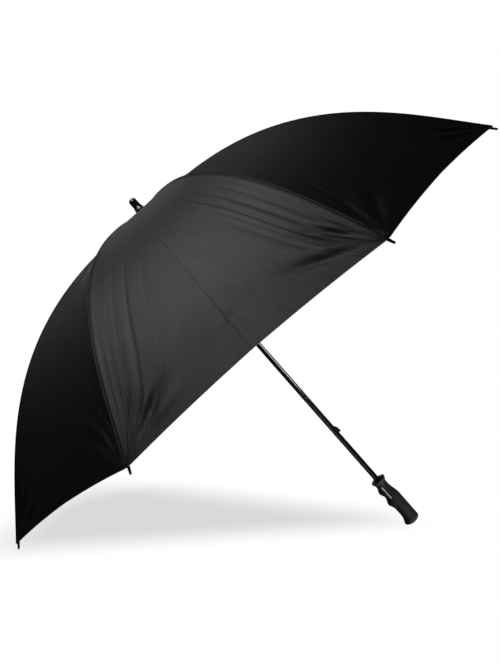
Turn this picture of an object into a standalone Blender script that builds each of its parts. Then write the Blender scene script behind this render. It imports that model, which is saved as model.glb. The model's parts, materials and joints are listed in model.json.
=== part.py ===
"""Golf umbrella, open, upright on its handle end. Metres, +Z up the shaft towards the ferrule.

The origin is on the shaft's axis, in the flat face under the handle. Ribs lie at
RIB_FIRST + k * 45 degrees, so that one gore faces -Y. Each piece of a rib is made in the
plane y = 0, where a point is (r, z), and is then copied round the shaft.
"""

import math

import bmesh
import bpy
from mathutils import Matrix, Vector

# ---------------------------------------------------------------- driving dimensions
RIBS = 8
PITCH = 2 * math.pi / RIBS
RIB_FIRST = PITCH / 2  # azimuth of rib 1, from +X

# canopy curve in a rib's plane; an "arc" is a length along it from the shaft's axis
CROWN_Z = 0.9252
SLOPE_CROWN = math.radians(-1.8)
SLOPE_HEM = math.radians(-51.1)
BEND_FROM, BEND_TO = 0.004, 0.725
FLARE_H, FLARE_R = 0.0120, 0.030  # the cloth rises into the ferrule

CLOTH_T = 0.0006
CLOTH_FROM = 0.0095  # arc where the cloth begins, round the shaft
CLOTH_TO = 0.7780  # arc of the hem at a rib
HEM_BOW = 0.0115  # how far the hem runs back between two ribs
CLOTH_SAG = 0.0060  # how far the middle of a gore is drawn in
SEAM_GAP = 0.00022  # half the gap between two half gores

SHAFT_R, SHAFT_BORE = 0.00625, 0.00525
SHAFT_FROM, SHAFT_TO = 0.0240, 0.9550
FIXED_BORE = SHAFT_R + 0.0004  # bore of the pieces fixed at the shaft's top

GRIP_RIM, GRIP_TOP = 0.1268, 0.1312
GRIP_BORE = 0.0066
GRIP_BORE_FROM = 0.0220
GRIP_MOUTH = 0.0012  # width and depth of the chamfer at the bore's mouth

FERRULE_FROM, FERRULE_TO, FERRULE_R = 0.9392, 0.9680, 0.0089
FERRULE_DOME = 0.0078  # height of the rounded tip
COLLAR_FROM, COLLAR_TO, COLLAR_R = 0.9362, 0.9387, 0.0112

# linkage in a rib's plane
HINGE_R, HINGE_Z = 0.0125, 0.9172  # rib root in the top notch
ROD_DROP = 0.0042  # rib axis below the canopy curve
HINGE_BEND_TO = 0.060  # arc where the bend down to the hinge ends
JOINT_ARC = 0.3330  # arc of the stretcher joint
JOINT_DROP = 0.0078  # stretcher pivot below the rib axis
FLEX_ARC = 0.4100  # arc where the inner and outer rib rods meet
FLEX_CLEAR = 0.0027  # from there to the outer rod's end
TIP_ARC = 0.7760  # end of the rib rod
TIP_END_ARC = 0.7880
ROD_R_IN, ROD_R_OUT, ROD_R_TIP = 0.0022, 0.0020, 0.0012

RUNNER_R = 0.0165  # circle of the stretcher roots
RUNNER_Z_CLOSED = 0.2600
FLEX_R_CLOSED = 0.0560  # radius of the flex point when closed
RUNNER_UP, RUNNER_DOWN = 0.0060, 0.0680  # runner's ends from the stretcher roots

BLADE = 0.0009  # half thickness of the flattened ends
BLADE_POWER = 0.45  # their section, nearly a rectangle
SLOT = 0.0013  # half width of the slots they turn in
SLOT_TO = 0.030  # radius the slot cutters reach
EYE_R = 0.0026
ROOT_EYE_R = EYE_R - 0.0002  # eye of a stretcher in the runner
EYE_HOLE, ROOT_EYE_HOLE = 0.0013, 0.0010
EYE_CUT_Y = 0.004  # half length of the cutters through the eyes

# ears and pin of the stretcher joint
EAR_R = 0.0030
EAR_HALF_LENGTH = 0.0038
EAR_IN, EAR_OUT = 0.0013, 0.0023  # faces of an ear, from the rib's plane
PIN_R, PIN_HALF = 0.0009, 0.0029

CATCH_LOW = 0.2682  # steep edge of the lower catch
CATCH_BASE, CATCH_OUT = 0.0050, 0.0115  # reach of the nose at its start and at its fullest
CATCH_LEN = 0.0205
CATCH_HALF = 0.0010  # half thickness of the leaf
CATCH_RISE = 0.72  # share of the nose's length over which it swells
CATCH_LEAF = 0.0500  # leaf's length from pivot to nose
WINDOW_HALF, WINDOW_GAP = 0.0015, 0.0016  # half width, and room above and below the nose
WINDOW_FROM, WINDOW_TO = 0.002, 0.010  # reach of the window cutters along X

ROD_SIDES = 8
GRIP_SIDES = 24

GORE_COLUMNS = 2
CROWN_ROWS, CROWN_ROWS_TO, CROWN_GROWTH = 5, 0.087, 1.55  # rows widen outwards up to this arc
HEM_ROWS = 10  # even rows from there to the hem
NORMAL_STEP = 0.002


# ---------------------------------------------------------------- curves
def ease(x):
    x = min(max(x, 0.0), 1.0)
    return x * x * (3 - 2 * x)


def mix(start, end, share):
    return start + (end - start) * share


def spaced(start, end, steps):
    return [start + (end - start) * i / steps for i in range(steps + 1)]


def shifted(point, angle, along, up=0.0):
    """A point moved along a heading and square to it."""
    c, s = math.cos(angle), math.sin(angle)
    return point[0] + along * c - up * s, point[1] + along * s + up * c


def slope(arc):
    return mix(SLOPE_CROWN, SLOPE_HEM, ease((arc - BEND_FROM) / (BEND_TO - BEND_FROM)))


def profile(arc, steps=160):
    """Point (r, z) of the bare canopy curve."""
    r, z, step = 0.0, CROWN_Z, arc / steps
    for i in range(steps):
        angle = slope((i + 0.5) * step)
        r += math.cos(angle) * step
        z += math.sin(angle) * step
    return r, z


def cloth(arc):
    r, z = profile(arc, 80)
    return r, z + FLARE_H * math.exp(-r / FLARE_R)


def below(arc, drop):
    """A point this far under the bare curve, square to it."""
    return shifted(profile(arc), slope(arc), 0.0, -drop)


def rib_axis(arc):
    """The rib's own axis: under the cloth, and bent to its hinge at the inner end."""
    r, z = below(arc, ROD_DROP)
    start_r, start_z = below(HINGE_R, ROD_DROP)
    share = ease((HINGE_BEND_TO - arc) / (HINGE_BEND_TO - HINGE_R))
    return r + share * (HINGE_R - start_r), z + share * (HINGE_Z - start_z)


def heading(start, end):
    return math.atan2(end[1] - start[1], end[0] - start[0])


def rib_heading(arc):
    return heading(rib_axis(arc - 0.002), rib_axis(arc + 0.002))


HINGE = (HINGE_R, HINGE_Z)
JOINT = below(JOINT_ARC, ROD_DROP + JOINT_DROP)
FLEX = rib_axis(FLEX_ARC)


def closing_angle():
    """How far a rib turns down about its root from open to closed."""
    closed = math.acos((FLEX_R_CLOSED - HINGE_R) / math.dist(HINGE, FLEX))
    return closed + heading(HINGE, FLEX)


def runner_height():
    """Height of the open stretcher roots, from the stretcher's length in the closed pose."""
    joint_closed = shifted(HINGE, -closing_angle(), JOINT[0] - HINGE[0], JOINT[1] - HINGE[1])
    length = math.dist(joint_closed, (RUNNER_R, RUNNER_Z_CLOSED))
    return JOINT[1] - math.sqrt(length**2 - (JOINT[0] - RUNNER_R) ** 2)


RUNNER_Z = runner_height()
RUNNER_TOP, RUNNER_LOW = RUNNER_Z + RUNNER_UP, RUNNER_Z - RUNNER_DOWN
ROOT = (RUNNER_R, RUNNER_Z)
CATCH_HIGH = RUNNER_LOW - 0.0006  # steep edge of the upper catch, just under the runner


# ---------------------------------------------------------------- mesh helpers
def clear():
    for o in list(bpy.data.objects):
        bpy.data.objects.remove(o, do_unlink=True)
    for mesh in list(bpy.data.meshes):
        bpy.data.meshes.remove(mesh)
    for mat in list(bpy.data.materials):
        bpy.data.materials.remove(mat)


def linked(name, mesh):
    o = bpy.data.objects.new(name, mesh)
    bpy.context.scene.collection.objects.link(o)
    return o


def make(name, verts, faces):
    mesh = bpy.data.meshes.new(name)
    mesh.from_pydata([tuple(v) for v in verts], [], faces)
    mesh.validate()
    bm = bmesh.new()
    bm.from_mesh(mesh)
    bmesh.ops.recalc_face_normals(bm, faces=bm.faces)
    bm.to_mesh(mesh)
    bm.free()
    return linked(name, mesh)


def rings(name, loops, closed=False):
    """A skin over equal rings of points. Ends are capped, or the last ring joins the first."""
    n = len(loops[0])
    verts = [v for loop in loops for v in loop]
    faces = []
    for i in range(len(loops) if closed else len(loops) - 1):
        a, b = i * n, ((i + 1) % len(loops)) * n
        for j in range(n):
            k = (j + 1) % n
            faces.append((a + j, a + k, b + k, b + j))
    if not closed:
        faces.append(tuple(range(n - 1, -1, -1)))
        faces.append(tuple(range((len(loops) - 1) * n, len(loops) * n)))
    return make(name, verts, faces)


def circle(sides, start=0.5):
    """Cosine and sine of each corner; start is the first corner's place in steps."""
    turns = [2 * math.pi * (j + start) / sides for j in range(sides)]
    return [(math.cos(t), math.sin(t)) for t in turns]


def lathe(name, outline, sides, closed=True):
    """An outline of (r, z), turned about Z. It doesn't touch the axis."""
    loops = [[(r * c, r * s, z) for c, s in circle(sides, 0)] for r, z in outline]
    return rings(name, loops, closed)


def sweep(name, stations):
    """stations: (point, heading, half height, half width, power), in the plane y = 0.

    Power 1 is an elliptic section and less is squarer.
    """
    loops = []
    for point, angle, half_height, half_width, power in stations:
        loop = []
        for c, s in circle(ROD_SIDES):
            up = half_height * math.copysign(abs(c) ** power, c)
            y = half_width * math.copysign(abs(s) ** power, s)
            x, z = shifted(point, angle, 0.0, up)
            loop.append((x, y, z))
        loops.append(loop)
    return rings(name, loops)


def slab(name, outline, y0, y1):
    """An outline of (x, z), drawn out along Y."""
    return rings(name, [[(x, y, z) for x, z in outline] for y in (y0, y1)])


def rod_y(centre, radius, half_length):
    """A short eight-sided rod along Y."""
    outline = [(centre[0] + radius * c, centre[1] + radius * s) for c, s in circle(ROD_SIDES)]
    return slab("rod", outline, -half_length, half_length)


def box(low, high, azimuth=0.0):
    turn = Matrix.Rotation(azimuth, 3, "Z")
    xs, ys, zs = zip(low, high)
    verts = [turn @ Vector((x, y, z)) for x in xs for y in ys for z in zs]
    faces = [(0, 1, 3, 2), (4, 6, 7, 5), (0, 4, 5, 1), (2, 3, 7, 6), (0, 2, 6, 4), (1, 5, 7, 3)]
    return make("box", verts, faces)


def joined(parts):
    """Loose bodies in one cutter."""
    bm = bmesh.new()
    for part in parts:
        bm.from_mesh(part.data)
    mesh = bpy.data.meshes.new("cutter")
    bm.to_mesh(mesh)
    bm.free()
    for part in parts:
        bpy.data.objects.remove(part, do_unlink=True)
    return linked("cutter", mesh)


def combine(target, other, operation="DIFFERENCE"):
    """Applies an exact boolean and removes the second object."""
    modifier = target.modifiers.new("cut", "BOOLEAN")
    modifier.operation, modifier.solver, modifier.object = operation, "EXACT", other
    bpy.context.view_layer.update()
    depsgraph = bpy.context.evaluated_depsgraph_get()
    mesh = bpy.data.meshes.new_from_object(target.evaluated_get(depsgraph))
    target.modifiers.clear()
    old = target.data
    target.data = mesh
    mesh.name = target.name
    bpy.data.meshes.remove(old)
    bpy.data.objects.remove(other, do_unlink=True)


def cut_slots(target, r_from, low, high):
    """Cuts a radial slot at every rib."""
    combine(target, joined([
        box((r_from, -SLOT, low), (SLOT_TO, SLOT, high), RIB_FIRST + k * PITCH)
        for k in range(RIBS)
    ]))


# ---------------------------------------------------------------- looks
BLACK_CLOTH = dict(colour=(0.012, 0.012, 0.013), roughness=0.55)
BLACK_GLOSS = dict(colour=(0.010, 0.010, 0.010), roughness=0.18)
BLACK_SOFT = dict(colour=(0.015, 0.015, 0.016), roughness=0.70)
BLACK_ROD = dict(colour=(0.013, 0.013, 0.014), roughness=0.35)
STEEL = dict(colour=(0.62, 0.62, 0.64), roughness=0.22, metallic=1.0)


def material(name, colour, roughness, metallic=0.0):
    mat = bpy.data.materials.new(name)
    mat.use_nodes = True
    inputs = mat.node_tree.nodes["Principled BSDF"].inputs
    inputs["Base Color"].default_value = (*colour, 1.0)
    inputs["Roughness"].default_value = roughness
    inputs["Metallic"].default_value = metallic
    mat.diffuse_color = (*colour, 1.0)
    return mat


def settle(o, origin, look, sharp_from=35.0, azimuth=0.0):
    """Sets the origin, turns the piece to its azimuth, and gives it material and shading."""
    o.data.transform(Matrix.Translation(-Vector(origin)))
    o.data.transform(Matrix.Rotation(azimuth, 4, "Z"))
    o.location = Matrix.Rotation(azimuth, 3, "Z") @ Vector(origin)
    o.data.materials.clear()
    o.data.materials.append(material(o.name + "_mat", **look))
    o.data.shade_smooth()
    o.data.set_sharp_from_angle(angle=math.radians(sharp_from))


def copied(first, name):
    o = linked(name, first.data.copy())
    o.data.name = name
    return o


def around(first, pivot, look, sharp_from=35.0):
    """Replaces a piece made in the plane y = 0 by a numbered copy at every rib."""
    for k in range(RIBS):
        o = copied(first, "%s_%d" % (first.name, k + 1))
        settle(o, (pivot[0], 0, pivot[1]), look, sharp_from, RIB_FIRST + k * PITCH)
    bpy.data.objects.remove(first, do_unlink=True)


# ---------------------------------------------------------------- shaft and handle
def shaft():
    middle = 0.5 * (SHAFT_FROM + SHAFT_TO)
    o = lathe("shaft", [
        (SHAFT_BORE, SHAFT_FROM), (SHAFT_R, SHAFT_FROM), (SHAFT_R, middle),
        (SHAFT_R, SHAFT_TO), (SHAFT_BORE, SHAFT_TO), (SHAFT_BORE, middle),
    ], 32)
    windows = [
        box((WINDOW_FROM, -WINDOW_HALF, low - WINDOW_GAP),
            (WINDOW_TO, WINDOW_HALF, low + CATCH_LEN + WINDOW_GAP))
        for low in (CATCH_LOW, CATCH_HIGH - CATCH_LEN)
    ]
    combine(o, joined(windows))
    settle(o, (0, 0, SHAFT_FROM), BLACK_GLOSS)


# swellings on the finger side: (height of the swelling, z of its middle, spread)
FINGER_BUMPS = [(0.0054, 0.0990, 0.0095), (0.0058, 0.0665, 0.0105), (0.0062, 0.0045, 0.0115)]
GRIP_FOOT = 0.0080  # the handle narrows towards its foot below this
# low cone over the rim: (share of the rim's section, share of the rise to the top)
GRIP_CONE = [(0.955, 0.10), (0.80, 0.42), (0.62, 0.80)]


def bump(z, middle, spread):
    return math.exp(-(((z - middle) / spread) ** 2))


def grip_half(z):
    """Half sizes of the handle at a height: towards -X (fingers), +X (palm) and Y."""
    flare = bump(z, GRIP_RIM, 0.0072)
    body = ease((0.1070 - z) / 0.035)
    finger = 0.0128 + 0.0044 * flare
    finger += sum(height * bump(z, middle, spread) for height, middle, spread in FINGER_BUMPS)
    palm = 0.0134 + 0.0055 * body + 0.0054 * flare
    side = 0.0134 + 0.0026 * body + 0.0048 * flare
    foot = math.sqrt(1 - 0.62 * max((GRIP_FOOT - z) / GRIP_FOOT, 0.0) ** 2)
    return finger * foot, palm * foot, side * foot


def grip_ring(halves, z, share=1.0):
    finger, palm, side = halves
    return [
        ((palm if c > 0 else finger) * c * share, side * s * share, z)
        for c, s in circle(GRIP_SIDES)
    ]


def grip():
    heights = [0.0, 0.0008, 0.0022, 0.0042, 0.0066] + spaced(0.0095, 0.1220, 23)
    heights += [0.1238, 0.1254, 0.1264, GRIP_RIM]
    loops = [grip_ring(grip_half(z), z) for z in heights]
    rim = grip_half(GRIP_RIM)
    loops += [grip_ring(rim, mix(GRIP_RIM, GRIP_TOP, rise), share) for share, rise in GRIP_CONE]
    for radius, z in (  # in through the mouth and down the blind bore
        (GRIP_BORE + GRIP_MOUTH, GRIP_TOP),
        (GRIP_BORE, GRIP_TOP - GRIP_MOUTH),
        (GRIP_BORE, GRIP_BORE_FROM),
    ):
        loops.append(grip_ring((radius, radius, radius), z))
    settle(rings("handle_grip", loops), (0, 0, 0), BLACK_SOFT, 40.0)


# ---------------------------------------------------------------- fixed pieces at the top
# ferrule's flared foot: (r, height over FERRULE_FROM)
FERRULE_FOOT = [
    (0.0112, 0.0), (0.0116, 0.0007), (0.0107, 0.0020), (0.0098, 0.0038),
    (0.0092, 0.0062), (FERRULE_R, 0.0095),
]
# groove under the dome: (depth, distance under FERRULE_TO)
FERRULE_GROOVE = [(0.0, 0.0092), (0.0005, 0.0088), (0.0005, 0.0082), (0.0, FERRULE_DOME)]
AXIS_GAP = 0.0004  # radius of the small flats that close a turned piece at its axis


def ferrule():
    bore_end = SHAFT_TO + 0.0015
    # the skin runs from the bore's blind end, out through the mouth and over the tip
    outline = [(AXIS_GAP, bore_end), (FIXED_BORE, bore_end), (FIXED_BORE, FERRULE_FROM)]
    outline += [(r, FERRULE_FROM + rise) for r, rise in FERRULE_FOOT]
    outline += [(FERRULE_R - depth, FERRULE_TO - drop) for depth, drop in FERRULE_GROOVE]
    for i in range(1, 8):
        angle = math.pi / 2 * i / 8
        outline.append((
            FERRULE_R * math.cos(angle) ** 0.75,
            FERRULE_TO - FERRULE_DOME + FERRULE_DOME * math.sin(angle),
        ))
    outline += [(0.0012, FERRULE_TO), (AXIS_GAP, FERRULE_TO)]
    settle(lathe("ferrule", outline, 24, closed=False), (0, 0, FERRULE_FROM), BLACK_GLOSS)


def ferrule_collar():
    o = lathe("ferrule_collar", [
        (FIXED_BORE, COLLAR_FROM), (COLLAR_R - 0.0005, COLLAR_FROM),
        (COLLAR_R, COLLAR_FROM + 0.0005), (COLLAR_R, COLLAR_TO - 0.0008),
        (COLLAR_R - 0.0003, COLLAR_TO - 0.0003), (COLLAR_R - 0.0009, COLLAR_TO),
        (FIXED_BORE, COLLAR_TO),
    ], 24)
    settle(o, (0, 0, COLLAR_FROM), BLACK_GLOSS)


CAP_RADII = [0.0072, 0.0100, 0.0140, 0.0185, 0.0230, 0.0262]
CAP_UNDER, CAP_OVER = 0.0008, 0.0015  # faces of the cap above the cloth's middle surface


def crown_cap():
    """The round cloth patch between the canopy and the ferrule."""
    # the crown is so flat that a radius serves as its arc
    heights = [(r, cloth(r)[1]) for r in CAP_RADII]
    under = [(r, z + CAP_UNDER) for r, z in heights]
    top = [(r, z + CAP_OVER) for r, z in heights]
    o = lathe("crown_cap", under + top[::-1], 28)
    settle(o, (0, 0, heights[0][1]), BLACK_CLOTH)


def top_notch():
    """Slotted ring that holds the rib roots, with a sleeve below it."""
    low, high = HINGE_Z - 0.0068, HINGE_Z + 0.0052
    sleeve = low - 0.010
    o = lathe("top_notch", [
        (FIXED_BORE, sleeve), (0.0088, sleeve), (0.0092, sleeve + 0.0007),
        (0.0092, low - 0.0010), (0.0104, low), (0.0160, low), (0.0168, low + 0.0008),
        (0.0168, high - 0.0012), (0.0156, high), (FIXED_BORE, high),
    ], 32)
    cut_slots(o, HINGE_R - EYE_R - 0.0006, low - 0.0005, high + 0.001)
    settle(o, (0, 0, HINGE_Z), BLACK_SOFT)


# ---------------------------------------------------------------- runner, its stop and catches
def runner_stop():
    """The small ring above the open runner that ends its travel."""
    bore = SHAFT_R + 0.0003
    low = RUNNER_TOP + 0.0010
    high = low + 0.0040
    o = lathe("runner_stop", [
        (bore, low), (0.0078, low), (0.0083, low + 0.0006),
        (0.0083, high - 0.0006), (0.0078, high), (bore, high),
    ], 24)
    settle(o, (0, 0, low), STEEL)


def runner():
    bore = SHAFT_R + 0.0005
    sleeve = 0.0104
    top, low = RUNNER_TOP, RUNNER_LOW
    neck = RUNNER_Z - 0.0070
    outline = [
        (bore, low), (0.0122, low), (0.0130, low + 0.0010), (0.0130, low + 0.0046),
        (0.0118, low + 0.0062), (sleeve, low + 0.0080),
    ]
    for i in range(1, 4):  # shallow finger rings on the sleeve
        z = low + 0.0060 + 0.0120 * i
        outline += [(sleeve, z - 0.0030), (sleeve + 0.0007, z - 0.0018), (sleeve, z - 0.0006)]
    outline += [
        (sleeve, neck - 0.0030), (0.0130, neck - 0.0006), (0.0190, neck + 0.0006),
        (0.0196, neck + 0.0014), (0.0196, top - 0.0010), (0.0188, top), (bore, top),
    ]
    o = lathe("runner", outline, 32)
    cut_slots(o, RUNNER_R - EYE_R - 0.0007, neck - 0.004, top + 0.001)
    settle(o, (0, 0, RUNNER_Z), BLACK_SOFT)


def catch(name, steep, sense):
    """A thin spring leaf inside the shaft with a half-moon nose through the window on +X.

    Sense is +1 with the steep edge above and -1 with it below.
    """
    base = steep - sense * CATCH_LEN
    low, high = min(steep, base), max(steep, base)
    pivot = low - CATCH_LEAF
    nose = []
    for i in range(9):
        share = i / 8
        swell = math.sin(0.5 * math.pi * min(share / CATCH_RISE, 1.0)) ** 0.85
        nose.append((mix(CATCH_BASE, CATCH_OUT, swell), mix(base, steep, share)))
    nose.append((0.0060, steep + sense * 0.0002))
    if sense < 0:
        nose.reverse()
    outline = [(0.0034, pivot - 0.0015), (0.0046, pivot - 0.0015), (0.0046, low - 0.0010)]
    outline += nose
    outline += [
        (0.0042, high + 0.0010), (0.0042, high + 0.0070), (0.0030, high + 0.0070),
        (0.0034, pivot + 0.006),
    ]
    o = slab(name, outline, -CATCH_HALF, CATCH_HALF)
    settle(o, (0.0040, 0, pivot), STEEL, 25.0)


# ---------------------------------------------------------------- rib, stretcher, tip
def eye_stations(centre, angle, radius, shares):
    """Flattened round end; shares are places along its radius."""
    return [
        (shifted(centre, angle, share * radius), angle,
         radius * math.sqrt(1 - share * share), BLADE, BLADE_POWER)
        for share in shares
    ]


# inner end of the rib: (arc, share of the change from flat blade to round rod)
BLADE_TO_ROD = [
    (0.0165, 0.0), (0.0245, 0.0), (0.0300, 0.5), (0.0360, 1.0), (0.060, 1.0), (0.105, 1.0),
]


def add_joint(rib):
    """Two ears and a pin under the rod, for the stretcher."""
    angle = rib_heading(JOINT_ARC)
    outline = []
    for j in range(6):
        t = math.pi + math.pi * j / 5
        outline.append(shifted(JOINT, angle, EAR_R * math.cos(t), EAR_R * math.sin(t)))
    low, high = JOINT_DROP - 0.0018, JOINT_DROP + 0.0002
    length = EAR_HALF_LENGTH
    for along, up in ((length, low), (length, high), (-length, high), (-length, low)):
        outline.append(shifted(JOINT, angle, along, up))
    for y0, y1 in ((-EAR_OUT, -EAR_IN), (EAR_IN, EAR_OUT)):
        combine(rib, slab("ear", outline, y0, y1), "UNION")
    combine(rib, rod_y(JOINT, PIN_R, PIN_HALF), "UNION")


def rib_inner():
    stations = eye_stations(HINGE, rib_heading(HINGE_R), EYE_R, (-0.98, -0.80, -0.45, 0.0))
    for arc, share in BLADE_TO_ROD + [(arc, 1.0) for arc in spaced(0.155, FLEX_ARC, 6)]:
        stations.append((
            rib_axis(arc), rib_heading(arc), mix(EYE_R, ROD_R_IN, share),
            mix(BLADE, ROD_R_IN, share), mix(BLADE_POWER, 1.0, share),
        ))
    angle = rib_heading(FLEX_ARC)
    for share in (0.6, 0.95):  # rounded outer end
        half = ROD_R_IN * math.sqrt(1 - share * share)
        stations.append((shifted(FLEX, angle, share * ROD_R_IN), angle, half, half, 1.0))
    o = sweep("rib_inner", stations)
    combine(o, rod_y(HINGE, EYE_HOLE, EYE_CUT_Y))
    add_joint(o)
    around(o, HINGE, BLACK_ROD)


def rib_outer():
    stations = []
    for arc in [FLEX_ARC + FLEX_CLEAR] + spaced(FLEX_ARC + 0.02, TIP_ARC, 7):
        half = mix(ROD_R_OUT, ROD_R_TIP, (arc - FLEX_ARC) / (TIP_ARC - FLEX_ARC))
        stations.append((rib_axis(arc), rib_heading(arc), half, half, 1.0))
    around(sweep("rib_outer", stations), FLEX, BLACK_ROD)


def rib_tip():
    """Moulded cap on the rib's end; the gore corners are sewn to it."""
    depth = 0.0130
    bore, wall = ROD_R_TIP + 0.0006, 0.0026
    end, nose = TIP_END_ARC - TIP_ARC, 0.0022
    # (radius, place along the rib), from the bore's blind end out to the nose
    outline = [
        (AXIS_GAP, 0.0), (bore, 0.0), (bore, -depth), (wall - 0.0003, -depth),
        (wall, -depth + 0.0005), (wall, 0.0010), (0.0024, 0.0050),
    ]
    for i in range(5):  # rounded end
        t = math.radians(5 + 75 * i / 4)
        outline.append((nose * math.cos(t), end - nose + nose * math.sin(t)))
    outline.append((AXIS_GAP, end))
    angle = rib_heading(TIP_ARC)
    bore_end = shifted(rib_axis(TIP_ARC), angle, 0.0008)
    loops = []
    for radius, along in outline:
        loop = []
        for c, s in circle(ROD_SIDES):
            x, z = shifted(bore_end, angle, along, radius * c)
            loop.append((x, radius * s, z))
        loops.append(loop)
    around(rings("rib_tip", loops), FLEX, BLACK_GLOSS, 40.0)


def stretcher():
    angle = heading(JOINT, ROOT)
    length = math.dist(JOINT, ROOT)

    def station(along, half_height, half_width=BLADE, power=BLADE_POWER):
        return shifted(JOINT, angle, along), angle, half_height, half_width, power

    stations = eye_stations(JOINT, angle, EYE_R, (-0.98, -0.75, -0.40, 0.0))
    stations.append(station(0.0070, EYE_R))
    for along in (0.0160, 0.5 * length, length - 0.0220):  # thicker, rounder middle
        stations.append(station(along, EYE_R - 0.0004, BLADE + 0.0008, 0.70))
    stations.append(station(length - 0.0130, ROOT_EYE_R))
    stations += eye_stations(ROOT, angle, ROOT_EYE_R, (0.0, 0.40, 0.75, 0.98))
    o = sweep("stretcher", stations)
    combine(o, rod_y(JOINT, EYE_HOLE, EYE_CUT_Y))
    combine(o, rod_y(ROOT, ROOT_EYE_HOLE, EYE_CUT_Y))
    around(o, JOINT, BLACK_ROD)


# ---------------------------------------------------------------- canopy
def gore_point(arc, across):
    """Middle surface of the gore centred on +X; across runs from -1 to 1, rib to rib."""
    r, z = cloth(arc)
    x, y = r * math.cos(PITCH / 2), r * math.sin(PITCH / 2) * across
    fullness = math.sin(math.pi * min(arc / CLOTH_TO, 1.0)) ** 1.2
    x, z = shifted((x, z), slope(arc), 0.0, -CLOTH_SAG * (1 - across * across) * fullness)
    return Vector((x, y, z))


def gore_normal(arc, across):
    step = NORMAL_STEP
    outward = gore_point(arc + step, across) - gore_point(arc - step, across)
    sideways = gore_point(arc, min(across + step, 1.0)) - gore_point(arc, max(across - step, -1.0))
    normal = outward.cross(sideways).normalized()
    return normal if normal.z > 0 else -normal


def column_arcs(share):
    """Arcs of a column's points; share is 0 at the gore's middle and 1 at the rib."""
    hem = CLOTH_TO - HEM_BOW * (1 - share * share)
    near = [
        mix(CLOTH_FROM, CROWN_ROWS_TO, (CROWN_GROWTH**i - 1) / (CROWN_GROWTH**CROWN_ROWS - 1))
        for i in range(CROWN_ROWS)
    ]
    return near + spaced(CROWN_ROWS_TO, hem, HEM_ROWS)


def half_gore(side):
    """Side -1 reaches the rib at smaller azimuth, +1 the other; they meet in the middle."""
    columns = GORE_COLUMNS
    shares = [j / columns for j in range(columns + 1)]
    rows = list(zip(*[column_arcs(share) for share in shares]))
    top, under = [], []
    for row in rows:
        for share, arc in zip(shares, row):
            gap = SEAM_GAP / (cloth(arc)[0] * math.sin(PITCH / 2))
            across = side * mix(gap, 1 - gap, share)
            point, normal = gore_point(arc, across), gore_normal(arc, across)
            top.append(point + normal * CLOTH_T / 2)
            under.append(point - normal * CLOTH_T / 2)
    n, skin = columns + 1, len(top)
    faces = []
    for i in range(len(rows) - 1):
        for j in range(columns):
            # both skins are split along the same diagonal, so the wall keeps its thickness
            a, b, c, d = i * n + j, i * n + j + 1, (i + 1) * n + j + 1, (i + 1) * n + j
            for one, two, three in ((a, b, c), (a, c, d)):
                faces.append((one, two, three))
                faces.append((skin + one, skin + three, skin + two))
    end = (len(rows) - 1) * n
    rim = list(range(n)) + [i * n + columns for i in range(1, len(rows))]
    rim += [end + j for j in range(columns - 1, -1, -1)]
    rim += [i * n for i in range(len(rows) - 2, 0, -1)]
    for one, two in zip(rim, rim[1:] + rim[:1]):
        faces.append((two, one, skin + one))
        faces.append((two, skin + one, skin + two))
    return make("half_gore", top + under, faces)


def canopy():
    """Two half gores between each pair of ribs, each with its origin at its rib's flex point."""
    for side, word, step in ((-1, "left", 0), (1, "right", 1)):
        first = half_gore(side)
        for k in range(RIBS):
            o = copied(first, "gore_%d_%s" % (k + 1, word))
            o.data.transform(Matrix.Rotation(RIB_FIRST + (k + 0.5) * PITCH, 4, "Z"))
            rib = RIB_FIRST + (k + step) * PITCH
            origin = (FLEX[0] * math.cos(rib), FLEX[0] * math.sin(rib), FLEX[1])
            settle(o, origin, BLACK_CLOTH, 30.0)
        bpy.data.objects.remove(first, do_unlink=True)


def build():
    clear()
    shaft()
    grip()
    ferrule()
    ferrule_collar()
    crown_cap()
    top_notch()
    runner_stop()
    runner()
    catch("catch_lower", CATCH_LOW, -1)
    catch("catch_upper", CATCH_HIGH, 1)
    rib_inner()
    rib_outer()
    rib_tip()
    stretcher()
    canopy()


build()
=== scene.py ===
"""Golf umbrella, open: cloth, rods, grip, finishes, floor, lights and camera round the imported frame.

The shaft stands on +Z through the origin, with the handle's end at z = 0 and the crown near z = 0.93.
The front, where the camera is, is -Y. The camera is rolled, so that the umbrella leans to the left
and rests on the handle's end and two rib tips. Metres and radians, unless a name says otherwise.
"""

import json
import math

import bmesh
import bpy
import numpy as np
from mathutils import Matrix, Vector

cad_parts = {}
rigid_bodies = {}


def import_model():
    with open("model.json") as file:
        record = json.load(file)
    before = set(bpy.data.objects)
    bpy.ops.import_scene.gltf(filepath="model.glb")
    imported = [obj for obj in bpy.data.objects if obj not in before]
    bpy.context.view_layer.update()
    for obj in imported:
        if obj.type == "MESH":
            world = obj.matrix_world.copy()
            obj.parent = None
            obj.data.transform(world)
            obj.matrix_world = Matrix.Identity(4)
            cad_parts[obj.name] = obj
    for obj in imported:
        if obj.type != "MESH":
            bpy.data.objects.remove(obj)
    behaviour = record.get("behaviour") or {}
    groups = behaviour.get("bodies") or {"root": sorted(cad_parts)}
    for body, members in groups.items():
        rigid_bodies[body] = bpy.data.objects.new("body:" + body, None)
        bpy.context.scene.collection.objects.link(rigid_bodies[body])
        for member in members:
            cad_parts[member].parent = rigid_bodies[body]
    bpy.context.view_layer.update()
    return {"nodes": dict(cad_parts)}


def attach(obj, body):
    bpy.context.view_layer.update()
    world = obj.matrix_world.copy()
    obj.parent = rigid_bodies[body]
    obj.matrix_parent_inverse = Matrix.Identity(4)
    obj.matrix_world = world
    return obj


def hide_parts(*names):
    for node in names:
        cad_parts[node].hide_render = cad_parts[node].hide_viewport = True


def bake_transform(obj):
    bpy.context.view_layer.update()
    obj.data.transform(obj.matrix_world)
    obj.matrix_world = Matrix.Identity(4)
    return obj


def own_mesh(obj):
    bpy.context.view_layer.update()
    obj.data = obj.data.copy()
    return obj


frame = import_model()
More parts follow.
